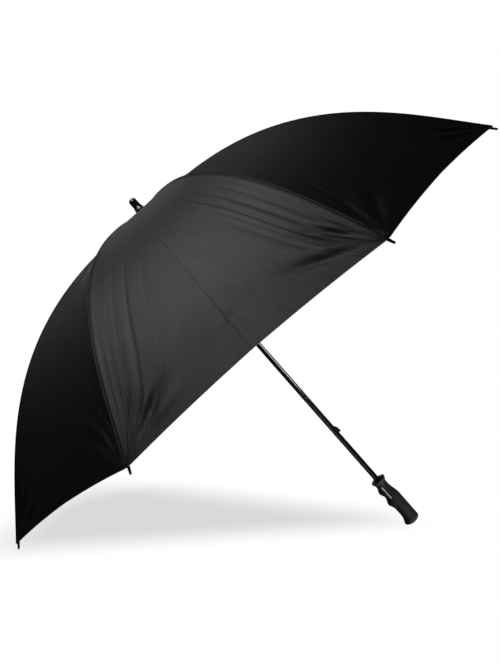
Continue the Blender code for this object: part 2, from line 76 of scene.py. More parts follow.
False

# ---------------------------------------------------------------- driving dimensions
# An "arc" is a distance from the crown, measured along the canopy's profile.
RIBS = 8
PITCH = 2 * math.pi / RIBS
RIB_FIRST = PITCH / 2
CROWN_Z = 0.9252
SLOPE_CROWN = math.radians(-1.8)
SLOPE_HEM = math.radians(-51.1)
BEND_FROM, BEND_TO = 0.004, 0.725  # arcs between which the profile turns down
FLARE_H, FLARE_R = 0.0120, 0.030  # the cloth's rise round the shaft
CLOTH_FROM, CLOTH_TO = 0.0095, 0.7780  # arcs
CLOTH_SAG = 0.0060
CLOTH_T = 0.0007
HEM_BOW = 0.0115  # how far the hem curves in between two ribs
HINGE_R, HINGE_Z = 0.0125, 0.9172
HINGE_BLEND_ARC = 0.060  # the rib is drawn to its hinge from here in
ROD_DROP = 0.0042  # rib axis below the profile
FLEX_ARC, TIP_ARC = 0.4100, 0.7760
SHARP_DEGREES = 32


def ease(x):
    x = np.clip(x, 0, 1)
    return x * x * (3 - 2 * x)


def bell(x, at, wide):
    return np.exp(-(((x - at) / wide) ** 2))


def falls(x, at, wide):
    """1 well below at, 0 well above it."""
    return 1 / (1 + np.exp((x - at) / wide))


# ---------------------------------------------------------------- profile and ribs
def slope(arc):
    turned = ease((np.asarray(arc, float) - BEND_FROM) / (BEND_TO - BEND_FROM))
    return SLOPE_CROWN + (SLOPE_HEM - SLOPE_CROWN) * turned


PROFILE_ARC = np.linspace(0, 0.82, 4101)
PROFILE_STEP = np.diff(PROFILE_ARC)
PROFILE_SLOPE = slope((PROFILE_ARC[1:] + PROFILE_ARC[:-1]) / 2)
PROFILE_R = np.concatenate([[0], np.cumsum(np.cos(PROFILE_SLOPE) * PROFILE_STEP)])
PROFILE_Z = CROWN_Z + np.concatenate([[0], np.cumsum(np.sin(PROFILE_SLOPE) * PROFILE_STEP)])


def profile(arc):
    return np.interp(arc, PROFILE_ARC, PROFILE_R), np.interp(arc, PROFILE_ARC, PROFILE_Z)


def cloth(arc):
    r, z = profile(arc)
    return r, z + FLARE_H * np.exp(-r / FLARE_R)


def below_profile(arc):
    r, z = profile(arc)
    angle = slope(arc)
    return r + ROD_DROP * np.sin(angle), z - ROD_DROP * np.cos(angle)


def rib_axis(arc):
    """The rib's axis (r, z), drawn to its hinge at the inner end."""
    r, z = below_profile(arc)
    start_r, start_z = below_profile(HINGE_R)
    pull = ease((HINGE_BLEND_ARC - np.asarray(arc, float)) / (HINGE_BLEND_ARC - HINGE_R))
    return r + pull * (HINGE_R - start_r), z + pull * (HINGE_Z - start_z)


def rib_azimuth(k):
    return RIB_FIRST + k * PITCH


def on_rib(k, r, z, y=0.0):
    """A point in rib k's upright plane, or y to the side of it."""
    a = rib_azimuth(k)
    return Vector((r * math.cos(a) - y * math.sin(a), r * math.sin(a) + y * math.cos(a), z))


# ---------------------------------------------------------------- shader helpers
class Shader:
    """Short ways to add and join nodes in the tree of one material or world."""

    def __init__(self, owner):
        owner.use_nodes = True
        self.owner = owner
        self.tree = owner.node_tree

    def put(self, socket, value):
        if isinstance(value, bpy.types.NodeSocket):
            self.tree.links.new(value, socket)
        else:
            socket.default_value = value

    def fill(self, node, **values):
        """Set or link inputs by name, with _ for a space; other names are the node's own settings."""
        for key, value in values.items():
            socket = node.inputs.get(key.replace("_", " "))
            if socket is None:
                setattr(node, key, value)
            else:
                self.put(socket, value)

    def node(self, kind, **values):
        node = self.tree.nodes.new("ShaderNode" + kind)
        self.fill(node, **values)
        return node

    def out(self, kind, output=0, **values):
        return self.node(kind, **values).outputs[output]

    def principled(self, **values):
        self.fill(self.tree.nodes["Principled BSDF"], **values)

    def math(self, operation, a, b=0.0, c=None):
        node = self.node("Math", operation=operation)
        for socket, value in zip(node.inputs, (a, b, c)):
            if value is not None:
                self.put(socket, value)
        return node.outputs[0]

    def product(self, first, *others):
        for other in others:
            first = self.math("MULTIPLY", first, other)
        return first

    def scaled(self, value, by, plus):
        return self.math("MULTIPLY_ADD", value, by, plus)

    def wave(self, value, period):
        return self.math("SINE", self.product(value, 2 * math.pi / period))

    def noise(self, vector, scale, detail, roughness=0.5):
        values = {"Scale": scale, "Detail": detail, "Roughness": roughness}
        return self.out("TexNoise", "Fac", Vector=vector, **values)

    def stretched(self, vector, scale):
        return self.out("Mapping", Vector=vector, Scale=scale)

    def ramp(self, source, *stops):
        """Two stops of (position, rgb)."""
        node = self.node("ValToRGB", Fac=source)
        for element, (position, rgb) in zip(node.color_ramp.elements, stops):
            element.position = position
            element.color = (*rgb, 1)
        return node.outputs[0]

    def mix(self, factor, base, rgb):
        node = self.node("Mix", data_type="RGBA")
        self.put(node.inputs[0], factor)
        self.put(node.inputs[6], base)
        self.put(node.inputs[7], (*rgb, 1))
        return node.outputs[2]

    def bump(self, height, distance, strength=1.0, **normal):
        values = {"Strength": strength, "Distance": distance, "Height": height}
        return self.out("Bump", "Normal", **values, **normal)

    def smooth(self, value, low, high):
        values = {"Value": value, "From_Min": low, "From_Max": high}
        return self.out("MapRange", interpolation_type="SMOOTHSTEP", **values)


def shader_for(name):
    return Shader(bpy.data.materials.new(name))


def tinted(rgb, factor):
    return tuple(c * factor for c in rgb)


# ---------------------------------------------------------------- materials
def moulded(name, rgb, rough, grain_mm=0.02, scale=900.0, coat=0.0, wear=0.15, spec=0.5,
            coat_rough=0.12, marking=None):
    """Moulded plastic, rubber or enamel: fine grain, slow colour drift, rubbed edges."""
    s = shader_for(name)
    drift = 1.25
    place = s.out("TexCoord", "Object")
    fine = s.noise(place, scale=scale, detail=3.0, roughness=0.6)
    slow = s.noise(place, scale=18.0, detail=4.0, roughness=0.55)
    base = s.ramp(slow, (0.3, tuple(c / drift for c in rgb)), (0.7, tinted(rgb, drift)))
    edge = s.ramp(s.out("NewGeometry", "Pointiness"), (0.53, (0, 0, 0)), (0.62, (1, 1, 1)))
    rubbed = tuple(min(1, c * 3 + 0.02) for c in rgb)
    colour = s.mix(s.product(edge, slow, wear), base, rubbed)
    if marking:
        colour = marking(s, colour)
    roughness = s.scaled(slow, by=0.12, plus=rough - 0.06)
    s.principled(
        Base_Color=colour,
        Roughness=s.scaled(fine, by=0.06, plus=roughness),
        Normal=s.bump(fine, distance=grain_mm * 0.001),
        Specular_IOR_Level=spec,
    )
    if coat:
        s.principled(Coat_Weight=coat, Coat_Roughness=coat_rough)
    return s.owner


def metal(name, rgb, rough, grain_stretch=(1, 1, 1)):
    s = shader_for(name)
    place = s.out("TexCoord", "Object")
    grain = s.noise(s.stretched(place, grain_stretch), scale=1500.0, detail=4.0)
    stain = s.noise(place, scale=60.0, detail=3.0)
    s.principled(
        Base_Color=s.ramp(stain, (0.3, tinted(rgb, 0.8)), (0.7, rgb)),
        Roughness=s.scaled(grain, by=0.16, plus=rough),
        Normal=s.bump(grain, distance=0.00001),
        Metallic=1.0,
    )
    return s.owner


def pale_bar(s, colour):
    """A plain upright bar with round ends, on the front of the grip."""
    middle_x, middle_z = -0.0038, 0.0945
    straight_half, half_width = 0.0145, 0.0018
    x, y, z = s.node("SeparateXYZ", Vector=s.out("TexCoord", "Object")).outputs
    up = s.math("ABSOLUTE", s.math("SUBTRACT", z, middle_z))
    aside = s.math("ABSOLUTE", s.math("SUBTRACT", x, middle_x))
    past_end = s.math("MAXIMUM", s.math("SUBTRACT", up, straight_half), 0.0)
    squares = s.math("ADD", s.product(past_end, past_end), s.product(aside, aside))
    inside = s.math("LESS_THAN", s.math("SQRT", squares), half_width)
    front = s.math("LESS_THAN", y, 0.0)
    return s.mix(s.product(inside, front), colour, (0.75, 0.75, 0.80))


def cloth_material():
    """Black woven polyester with a satin face.

    UV map weave: metres across and along. Attributes seam, hem: metres from each. pull: metres off
    the seam of the pull a point lies on; reach: metres from the hem corner; which: the rib.
    """
    s = shader_for("cloth")
    weave_uv = s.out("UVMap", uv_map="weave")
    across, along = s.node("SeparateXYZ", Vector=weave_uv).outputs[:2]
    seam, hem, pull, reach, which = (
        s.out("Attribute", "Fac", attribute_name=key)
        for key in ("seam", "hem", "pull", "reach", "which")
    )
    slow = s.noise(weave_uv, scale=7.0, detail=4.0, roughness=0.6)

    def stitches(edge, at, half, run):
        """Dashes 3.6 mm apart, in a line at that distance from an edge."""
        line = s.math("LESS_THAN", s.math("ABSOLUTE", s.math("SUBTRACT", edge, at)), half)
        return s.product(line, s.math("GREATER_THAN", s.wave(run, period=0.0036), -0.35))

    def lay(pull_scale, reach_scale, roughness):
        """Noise drawn out along the pulls, different at each rib."""
        vector = s.out(
            "CombineXYZ",
            X=s.product(pull, pull_scale),
            Y=s.product(reach, reach_scale),
            Z=s.product(which, 5.3),
        )
        return s.noise(vector, scale=1.0, detail=3.0, roughness=roughness)

    # a row of stitches on each side of a seam, and a fainter one above the hem
    seam_rows = stitches(seam, at=0.0030, half=0.00035, run=along)
    hem_row = s.product(stitches(hem, at=0.0085, half=0.00030, run=across), 0.35)
    thread = s.math("MAXIMUM", seam_rows, hem_row)

    # colour: a painted highlight, greyer over the last millimetre and a half, where the hem is turned
    # over
    base = s.ramp(slow, (0.30, (0.0017, 0.0016, 0.0017)), (0.72, (0.0030, 0.0029, 0.0030)))
    stitched = s.mix(thread, base, (0.0075, 0.0075, 0.0080))
    hem_painted_highlight = s.math("MAXIMUM", s.scaled(hem, by=-420.0, plus=0.62), 0.0)
    colour = s.mix(hem_painted_highlight, stitched, (0.030, 0.029, 0.028))

    # shine: fine lines both ways, and little of it in the seam's groove, which paints shade along the
    # seam
    # painted shade: the shine falls to an eighth on the seam line
    groove = s.math("MINIMUM", s.scaled(seam, by=500.0, plus=0.12), 1.0)
    hair = lay(pull_scale=330.0, reach_scale=9.0, roughness=0.6)
    weft_uv = s.stretched(weave_uv, (11.0, 330.0, 1.0))
    weft = s.noise(weft_uv, scale=1.0, detail=3.0, roughness=0.6)
    shine = s.scaled(hair, by=0.42, plus=s.scaled(weft, by=0.24, plus=0.67))
    full_shine = 0.60

    # relief: threads 0.6 mm apart, some of them thicker, and the stitches
    fine = s.noise(weave_uv, scale=420.0, detail=2.0)
    slub = s.noise(s.stretched(weave_uv, (700.0, 9.0, 1.0)), scale=1.0, detail=2.0)
    weave = s.product(s.wave(across, period=0.0012), s.wave(along, period=0.0012))
    height = s.scaled(weave, by=0.35, plus=s.product(fine, 0.7))
    height = s.scaled(slub, by=0.6, plus=height)
    height = s.scaled(thread, by=2.0, plus=height)

    # fine drawn lines beside the seams, closing in on the hem corners
    streak = lay(pull_scale=85.0, reach_scale=3.2, roughness=0.55)
    near = s.math("MINIMUM", s.math("DIVIDE", 0.055, s.math("ADD", reach, 0.05)), 1.0)
    beside = s.math("MAXIMUM", s.math("SUBTRACT", 1.0, s.product(seam, 5.5)), 0.22)
    drawn = s.bump(s.product(streak, s.product(near, beside)), distance=0.0042)

    s.principled(
        Base_Color=colour,
        Roughness=s.scaled(thread, by=0.15, plus=s.scaled(slow, by=0.10, plus=0.43)),
        Specular_IOR_Level=s.product(groove, shine, full_shine),
        Sheen_Weight=0.03,
        Sheen_Roughness=0.5,
        Normal=s.bump(height, distance=0.00008, strength=0.8, Normal=drawn),
    )
    return s.owner


FOAM = dict(rgb=(0.0150, 0.0150, 0.0156), rough=0.66, grain_mm=0.05, scale=1300, wear=0.35,
            spec=0.35)
MATERIALS = {
    "shaft": moulded("enamel_black", rgb=(0.006, 0.006, 0.006), rough=0.12, grain_mm=0.0003,
                     scale=260, coat=0.8, wear=0.3, spec=0.6, coat_rough=0.06),
    "grip": moulded("foam_rubber", **FOAM),
    "grip_marked": moulded("foam_rubber_bar", **FOAM, marking=pale_bar),
    "hard": moulded("plastic_gloss", rgb=(0.005, 0.005, 0.005), rough=0.22, grain_mm=0.0008,
                    scale=400, coat=0.7, wear=0.3, spec=0.55, coat_rough=0.10),
    "hub": moulded("plastic_matt", rgb=(0.010, 0.010, 0.010), rough=0.42, wear=0.5),
    "rib": moulded("glass_fibre", rgb=(0.008, 0.008, 0.009), rough=0.32, grain_mm=0.015,
                   scale=1600, coat=0.2, wear=0.3),
    "stretcher": moulded("enamel_thin", rgb=(0.008, 0.008, 0.008), rough=0.40, grain_mm=0.008,
                         scale=800, coat=0.1, wear=0.9),
    "thread": moulded("thread_black", rgb=(0.010, 0.010, 0.011), rough=0.7, grain_mm=0.06,
                      scale=2600, wear=0.0),
    "bright": metal("bright_metal", rgb=(0.72, 0.72, 0.73), rough=0.10),
    "spring": metal("spring_steel", rgb=(0.10, 0.10, 0.11), rough=0.30,
                    grain_stretch=(1, 1, 0.05)),
    "cloth": cloth_material(),
}

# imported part: finish
FINISH = {
    "shaft": "shaft", "handle_grip": "grip", "ferrule": "hard", "ferrule_collar": "hard",
    "crown_cap": "cloth", "top_notch": "hub", "runner_stop": "bright", "runner": "hub",
    "catch_lower": "spring", "catch_upper": "spring",
}
# start of a numbered part's name, finish; the first that fits counts
FINISH_BY_START = (
    ("rib_tip", "hard"), ("rib", "rib"), ("stretcher", "stretcher"), ("gore", "cloth"),
)


def finish_of(part):
    if part in FINISH:
        return FINISH[part]
    for start, finish in FINISH_BY_START:
        if part.startswith(start):
            return finish
    raise ValueError(part)


def smooth_shade(mesh, sharp_degrees):
    mesh.shade_smooth()
    mesh.set_sharp_from_angle(angle=math.radians(sharp_degrees))


for part_name, part_object in frame["nodes"].items():
    part_object.data.materials.clear()
    part_object.data.materials.append(MATERIALS[finish_of(part_name)])
    if not part_name.startswith("gore"):
        smooth_shade(part_object.data, SHARP_DEGREES)


# ---------------------------------------------------------------- mesh helpers
def link_mesh(name, mesh, material):
    mesh.materials.append(material)
    made = bpy.data.objects.new(name, mesh)
    bpy.context.scene.collection.objects.link(made)
    return made


def make(name, verts, faces, material, sharp_degrees=SHARP_DEGREES):
    mesh = bpy.data.meshes.new(name)
    mesh.from_pydata([tuple(map(float, v)) for v in verts], [], faces)
    mesh.update()
    bm = bmesh.new()
    bm.from_mesh(mesh)
    bmesh.ops.recalc_face_normals(bm, faces=bm.faces)
    bm.to_mesh(mesh)
    bm.free()
    smooth_shade(mesh, sharp_degrees)
    return link_mesh(name, mesh, material)


def skin(loops):
    """Vertices and faces of a tube through the loops, with flat ends."""
    sides = len(loops[0])
    verts = [v for loop in loops for v in loop]
    faces = []
    for i in range(len(loops) - 1):
        near, far = i * sides, (i + 1) * sides
        for j in range(sides):
            k = (j + 1) % sides
            faces.append((near + j, near + k, far + k, far + j))
    faces.append(tuple(range(sides - 1, -1, -1)))
    faces.append(tuple(range((len(loops) - 1) * sides, len(loops) * sides)))
    return verts, faces


def angles(sides, shift=0.0):
    return [2 * math.pi * (j + shift) / sides for j in range(sides)]


# ---------------------------------------------------------------- canopy relief
# (gore, side): long thin pulls beside one seam, from the corner at the hem:
# metres off the seam, height, width, distance from the corner at which it starts, and ends
PULLS = {
    (5, 1): [
        (0.047, -0.0009, 0.0030, 0.05, 0.44), (0.066, -0.0010, 0.0032, 0.08, 0.50),
        (0.093, -0.0008, 0.0034, 0.09, 0.30), (0.028, -0.0006, 0.0028, 0.08, 0.42),
        (0.078, -0.0004, 0.0030, 0.14, 0.33), (0.056, 0.0005, 0.0040, 0.06, 0.34),
    ],
    (5, -1): [
        (0.078, -0.0010, 0.0028, 0.06, 0.42), (0.050, -0.0003, 0.0028, 0.08, 0.42),
        (0.030, -0.0004, 0.0028, 0.06, 0.30), (0.096, -0.0002, 0.0030, 0.14, 0.34),
        (0.115, -0.0002, 0.0040, 0.18, 0.42), (0.064, 0.0002, 0.0040, 0.08, 0.30),
    ],
    (6, -1): [
        (0.050, -0.0010, 0.0036, 0.04, 0.27), (0.070, -0.0009, 0.0036, 0.06, 0.26),
        (0.024, -0.0007, 0.0030, 0.05, 0.30), (0.036, -0.0006, 0.0032, 0.05, 0.34),
    ],
    (4, 1): [
        (0.036, -0.0010, 0.0034, 0.05, 0.30), (0.050, -0.0010, 0.0036, 0.05, 0.26),
        (0.024, -0.0006, 0.0030, 0.04, 0.24), (0.072, -0.0007, 0.0040, 0.07, 0.22),
    ],
}
# (gore, side): broad folds that open out from the corner:
# bearing off the seam in radians, height, width in radians, start, end
FANS = {
    (5, 1): [
        (0.42, -0.0026, 0.085, 0.012, 0.150), (1.01, -0.0024, 0.070, 0.018, 0.170),
        (0.24, 0.0012, 0.070, 0.015, 0.140), (0.76, 0.0017, 0.120, 0.015, 0.160),
        (1.30, 0.0004, 0.080, 0.030, 0.130),
    ],
    (5, -1): [
        (0.90, -0.0028, 0.090, 0.012, 0.150), (0.58, -0.0015, 0.070, 0.015, 0.120),
        (0.72, 0.0012, 0.070, 0.015, 0.130), (1.16, 0.0014, 0.110, 0.020, 0.150),
        (0.30, -0.0011, 0.070, 0.015, 0.130),
    ],
    (6, -1): [
        (0.34, -0.0020, 0.080, 0.012, 0.150), (0.88, -0.0022, 0.100, 0.015, 0.160),
        (0.60, 0.0014, 0.110, 0.015, 0.150), (1.18, 0.0012, 0.100, 0.025, 0.150),
    ],
    (4, 1): [
        (0.16, -0.0012, 0.055, 0.012, 0.150), (0.44, -0.0017, 0.075, 0.012, 0.150),
        (0.30, 0.0010, 0.060, 0.015, 0.140), (0.78, -0.0017, 0.100, 0.015, 0.150),
        (0.60, 0.0010, 0.080, 0.015, 0.150),
    ],
}


def pulls(gore, side):
    """The pulls from the table, or random ones for a corner that isn't in it."""
    if (gore, side) in PULLS:
        return PULLS[(gore, side)]
    rng = np.random.default_rng(100 + 2 * gore + (side > 0))
    return [
        (
            0.026 + 0.018 * i + rng.uniform(-0.006, 0.006),
            -rng.uniform(0.0005, 0.0010),
            rng.uniform(0.0030, 0.0040),
            rng.uniform(0.05, 0.10),
            rng.uniform(0.26, 0.46),
        )
        for i in range(5)
    ]


def fans(gore, side):
    """The same for the broad folds: random ones are valleys and lower ridges by turns."""
    if (gore, side) in FANS:
        return FANS[(gore, side)]
    rng = np.random.default_rng(300 + 2 * gore + (side > 0))
    found = []
    at = rng.uniform(0.18, 0.40)
    for i in range(5):
        sign = -1 if i % 2 == 0 else 0.6
        high = sign * rng.uniform(0.0014, 0.0030)
        found.append((at, high, rng.uniform(0.07, 0.10), 0.014, rng.uniform(0.13, 0.17)))
        at += rng.uniform(0.16, 0.30)
    return found


def half_width(arc):
    return cloth(arc)[0] * math.sin(PITCH / 2)


def from_hem(arc, w):
    return CLOTH_TO - HEM_BOW * (1 - w * w) - arc


def corner(arc, w, half, side):
    """For the hem corner on that side: how far away a point is, which pull it lies on, and its
    bearing off the seam. Pulls run beside the seam and close in on the corner at the end."""
    aside = np.clip(half * (1 - side * w), 1e-6, None)
    inward = np.clip(CLOTH_TO - arc, 1e-6, None)
    reach = np.hypot(aside, inward)
    pull = aside / (1 - np.exp(-(reach + 0.002) / 0.080))
    return reach, pull, np.arctan2(aside, inward)


def middle_fold(arc, across):
    """A low roof down the middle of the gore, with a pressed line along it."""
    roof = 0.0014 * np.exp(-np.abs(across) / 0.045)
    pressed = 0.0003 * bell(across, 0.0, 0.0011)
    return (roof - pressed) * ease((arc - 0.035) / 0.10)


def rolled_seam(arc, seam):
    """A raised band over the rib, with a ridge beside the groove on the seam itself."""
    band = 0.0007 * falls(seam, 0.0062, 0.0005)
    ridge = 0.0008 * bell(seam, 0.0024, 0.0013)
    groove = 0.0015 * bell(seam, 0.0, 0.0010)
    return (band + ridge - groove) * np.clip(arc / CLOTH_TO * 6, 0.25, 1)


def corner_folds(gore, arc, w, half, off_hem):
    """Pulls and fans towards the two hem corners; they die out before the fold and the hem."""
    up = 0
    off_fold = ease(np.abs(w) / 0.10)
    for side in (-1, 1):
        reach, pull, bearing = corner(arc, w, half, side)
        mine = np.where(side * w > 0, off_fold, 0) * off_hem
        for at, high, wide, near, far in pulls(gore, side):
            ends = ease((reach - near * 0.5) / (near * 0.9)) * ease((far - reach) / (0.35 * far))
            up = up + high * bell(pull, at, wide) * ends * mine
        for at, high, wide, near, far in fans(gore, side):
            ends = ease((reach - near * 0.4) / near) * ease((far - reach) / (0.45 * far))
            opening = np.clip(reach / 0.06, 0, 1.4)
            up = up + high * bell(bearing, at, wide) * opening * ends * mine
    return up


def slack(gore, arc, w, half):
    """Five long, low swellings or hollows, each at its own angle."""
    up = 0
    between_seam_and_fold = ease((0.5 - np.abs(np.abs(w) - 0.5)) * 4)
    rng = np.random.default_rng(7 + gore)
    for _ in range(5):
        middle_arc, middle_w = rng.uniform(0.15, 0.70), rng.uniform(-0.7, 0.7)
        spin = rng.uniform(-0.5, 0.5)
        u, v = arc - middle_arc, w * half - middle_w * half
        length = u * math.cos(spin) + v * math.sin(spin)
        width = v * math.cos(spin) - u * math.sin(spin)
        shape = np.exp(-((length / 0.10) ** 2) - ((width / 0.035) ** 2))
        up = up + rng.uniform(-0.0012, 0.0012) * shape * between_seam_and_fold
    return up


def strap_knot(gore, arc, across):
    """The knot of the closing strap's stitching, beside the fold near the hem."""
    knot_across, knot_arc = 0.004, 0.695
    u, v = across - knot_across, arc - knot_arc
    distance = np.hypot(u, v)
    dimple = 0.0009 * bell(distance, 0.0, 0.006)
    puckers = 0.0008 * np.cos(3 * np.arctan2(u, v) + gore)
    return puckers * np.exp(-distance / 0.016) * np.clip(distance / 0.006, 0, 1) - dimple


def lift(gore, arc, w, half):
    """How far the cloth stands off its smooth surface, outwards. half: the gore's half-width."""
    hem = from_hem(arc, w)
    off_hem = ease((hem - 0.006) / 0.028)
    return (
        middle_fold(arc, w * half)
        + rolled_seam(arc, half * (1 - np.abs(w)))
        + corner_folds(gore, arc, w, half, off_hem)
        + slack(gore, arc, w, half) * off_hem
        + strap_knot(gore, arc, w * half)
        + 0.00015 * falls(hem, 0.0105, 0.0008)  # folded hem
    )


def surface(gore, arc, w, detail=True):
    """Points of a gore's outer face, about its own middle. w: -1 and 1 at the seams, 0 at the fold."""
    r, z = cloth(arc)
    x, y = r * math.cos(PITCH / 2), half_width(arc) * w
    angle = slope(arc)
    along = np.clip(arc / CLOTH_TO, 0, 1)
    inward = CLOTH_SAG * (1 - w * w) * np.sin(np.pi * along) ** 1.8
    if detail:
        inward = inward - lift(gore, arc, w, half_width(arc))
    return np.stack([x + inward * np.sin(angle), y, z - inward * np.cos(angle)], -1)


# ---------------------------------------------------------------- canopy sheets
# ring: arcs from and to, and how narrow it would be drawn when the runner is all the way down, a
# number that nothing here reads;
# the innermost has none, and is left where it is instead of riding on a rib
RINGS = {
    "cap": (0.0, 0.045, None),
    "crown": (0.045, 0.09, 0.62),
    "neck": (0.09, 0.21, 0.42),
    "upper": (0.21, FLEX_ARC, 0.30),
    "lower": (FLEX_ARC, CLOTH_TO, 0.17),
}
# how far the lowest ring's rows start above the flex
UNDERLAP_ROWS = (0.022, 0.0110, 0.0030, 0.0)
# rows of the folded hem, and where the even rows above it end: metres from the hem
HEM_ROWS = (0.0114, 0.0109, 0.0105, 0.0101, 0.0095, 0.0075, 0.0045, 0.0022, 0.0008, 0.0)
EVEN_ROWS_END = CLOTH_TO - 0.0125
# columns beside the seam and beside the fold: metres from each, less where the gore is narrow
SEAM_COLUMNS = (0.0, 0.0004, 0.0009, 0.0014, 0.0020, 0.0027, 0.0036, 0.0048, 0.0057, 0.0063,
                0.0070, 0.0085)
FOLD_COLUMNS = (-0.0090, -0.0042, -0.0022, -0.0012, -0.0006, 0.0)
NARROW_HALF = 0.040
LAP_DROP, LAP_T, LAP_EDGE_T = 0.00085, 0.00045, 0.00130
CLOTH_SHARP_DEGREES = 55.0


def row_arcs(part):
    if part == "lower":
        count = math.ceil((EVEN_ROWS_END - FLEX_ARC) / 0.0062)
        found = [FLEX_ARC - above for above in UNDERLAP_ROWS] + [FLEX_ARC + 0.00025]
        even = (EVEN_ROWS_END - FLEX_ARC) / count
        found += [FLEX_ARC + even * i for i in range(1, count + 1)]
        return found + [CLOTH_TO - above for above in HEM_ROWS]
    # rows that spread from the crown, then even ones; each ring takes its stretch of them
    found, arc, gap = [], CLOTH_FROM, 0.0016
    while arc < 0.06:
        found.append(arc)
        arc += gap
        gap *= 1.18
    count = math.ceil((FLEX_ARC - arc) / 0.0085)
    found += [arc + (FLEX_ARC - arc) * i / count for i in range(count + 1)]
    first, last = (
        min(range(len(found)), key=lambda i: abs(found[i] - end)) for end in RINGS[part][:2]
    )
    return found[first : last + 1]


def half_grid(side, part):
    """Arrays of arc and w, from the seam to the fold."""
    count = 60 if part == "lower" else 34
    rows_arc, rows_w = [], []
    for row_arc in row_arcs(part):
        half = float(half_width(row_arc))
        shrink = min(1.0, half / NARROW_HALF)
        low, high = SEAM_COLUMNS[-1] * shrink, half + FOLD_COLUMNS[0] * shrink
        off_seam = [d * shrink for d in SEAM_COLUMNS]
        off_seam += [low + (high - low) * i / count for i in range(1, count)]
        off_seam += [half + d * shrink for d in FOLD_COLUMNS]
        w = side * (1 - np.array(off_seam) / half)
        arc = np.full_like(w, row_arc)
        if part == "lower":
            # rows drift back towards the bowed hem
            drift = np.clip((row_arc - FLEX_ARC) / (EVEN_ROWS_END - FLEX_ARC), 0, 1) ** 1.5
            arc = row_arc - HEM_BOW * (1 - w * w) * drift
        rows_arc.append(arc)
        rows_w.append(w)
    return np.array(rows_arc), np.array(rows_w)


def half_shape(gore, side, part):
    """Outer points, outward normals and surface measures of half a gore, seam column first."""
    arc, w = half_grid(side, part)
    half = half_width(arc)
    tiny = 0.0004
    by_arc = surface(gore, arc + tiny, w, False) - surface(gore, arc - tiny, w, False)
    by_w = surface(gore, arc, w + tiny, False) - surface(gore, arc, w - tiny, False)
    normal = np.cross(by_arc, by_w)
    normal /= np.linalg.norm(normal, axis=-1, keepdims=True)
    normal[normal[..., 2] < 0] *= -1
    turn = np.array(Matrix.Rotation(rib_azimuth(gore + 0.5), 3, "Z"))
    reach, pull, _ = corner(arc, w, half, side)
    return {
        "point": surface(gore, arc, w) @ turn.T,
        "normal": normal @ turn.T,
        "across": w * half,
        "arc": arc,
        "seam": half * (1 - np.abs(w)),
        "hem": from_hem(arc, w),
        "reach": reach,
        "pull": pull,
    }


def sheet_faces(rows, cols, seam_at):
    """Quads of a thin closed sheet, and whether each lies past the seam column."""
    total = rows * cols
    faces, past_seam = [], []
    for i in range(rows - 1):
        for j in range(cols - 1):
            a = i * cols + j
            b = total + a
            faces.append((a, a + 1, a + cols + 1, a + cols))
            faces.append((b, b + cols, b + cols + 1, b + 1))
            past_seam += [j >= seam_at] * 2
    rim = [(0, j) for j in range(cols)] + [(i, cols - 1) for i in range(1, rows)]
    rim += [(rows - 1, j) for j in range(cols - 2, -1, -1)]
    rim += [(i, 0) for i in range(rows - 2, 0, -1)]
    for one, two in zip(rim, rim[1:] + rim[:1]):
        a, b = one[0] * cols + one[1], two[0] * cols + two[1]
        faces.append((b, a, total + a, total + b))
        past_seam.append(min(one[1], two[1]) >= seam_at)
    return faces, past_seam


def add_weave_uv(mesh, past_seam, across_before, across_after, arc):
    """Each side of the seam has its own stretch of the map, so the seam column is split."""
    index = np.zeros(len(mesh.loops), np.int32)
    mesh.loops.foreach_get("vertex_index", index)
    cell = index % arc.size
    across = np.where(
        np.repeat(np.array(past_seam), 4), across_after.ravel()[cell], across_before.ravel()[cell]
    )
    flat = np.stack([across, arc.ravel()[cell]], -1).astype(np.float32)
    mesh.uv_layers.new(name="weave").uv.foreach_set("vector", flat.ravel())


def sheet(k, part):
    """The cloth sewn to rib k, from the fold on one side to the fold on the other."""
    gore_before = (k - 1) % RIBS
    before, after = half_shape(gore_before, 1, part), half_shape(k, -1, part)
    seam_at = before["arc"].shape[1] - 1

    def joined(key):
        one, two = before[key][:, ::-1], after[key]
        middle = (one[:, -1:] + two[:, :1]) / 2
        return np.concatenate([one[:, :-1], middle, two[:, 1:]], 1)

    top, normal = joined("point"), joined("normal")
    normal /= np.linalg.norm(normal, axis=-1, keepdims=True)
    hem, arc = joined("hem"), joined("arc")
    thick = np.full(hem.shape, CLOTH_T)
    if part == "lower":
        thick = thick + 0.0008 * falls(hem, 0.0105, 0.0005)
        # a strip that runs on up inside the next ring, so that the two still lap when the rib folds
        laps = arc < FLEX_ARC + 0.0001
        thick = np.where(arc < FLEX_ARC + 0.0004, LAP_EDGE_T, thick)
        top = top - normal * np.where(laps, LAP_DROP, 0.0)[..., None]
        thick = np.where(laps, LAP_T, thick)
    under = top - normal * thick[..., None]
    verts = np.concatenate([top.reshape(-1, 3), under.reshape(-1, 3)])
    faces, past_seam = sheet_faces(*hem.shape, seam_at)
    name = "canopy_%s_%d" % (part, k + 1)
    made = make(name, verts, faces, MATERIALS["cloth"], CLOTH_SHARP_DEGREES)

    uv_offset = 0.7  # from one gore to the next
    across_before, across_after = np.zeros(hem.shape), np.zeros(hem.shape)
    across_before[:, : seam_at + 1] = before["across"][:, ::-1] + gore_before * uv_offset
    across_after[:, seam_at:] = after["across"] + k * uv_offset
    add_weave_uv(made.data, past_seam, across_before, across_after, arc)

    # signed: negative before the seam, nothing on it
    pull = np.concatenate(
        [-before["pull"][:, ::-1][:, :-1], after["pull"][:, :1] * 0, after["pull"][:, 1:]], 1
    )
    measures = {
        "seam": joined("seam"),
        "hem": hem,
        "pull": pull,
        "reach": joined("reach"),
        "which": np.full(hem.shape, float(k)),
    }
    for key, data in measures.items():
        attribute = made.data.attributes.new(key, "FLOAT", "POINT")
        both_faces = np.concatenate([data.ravel()] * 2).astype(np.float32)
        attribute.data.foreach_set("value", both_faces)
    return made


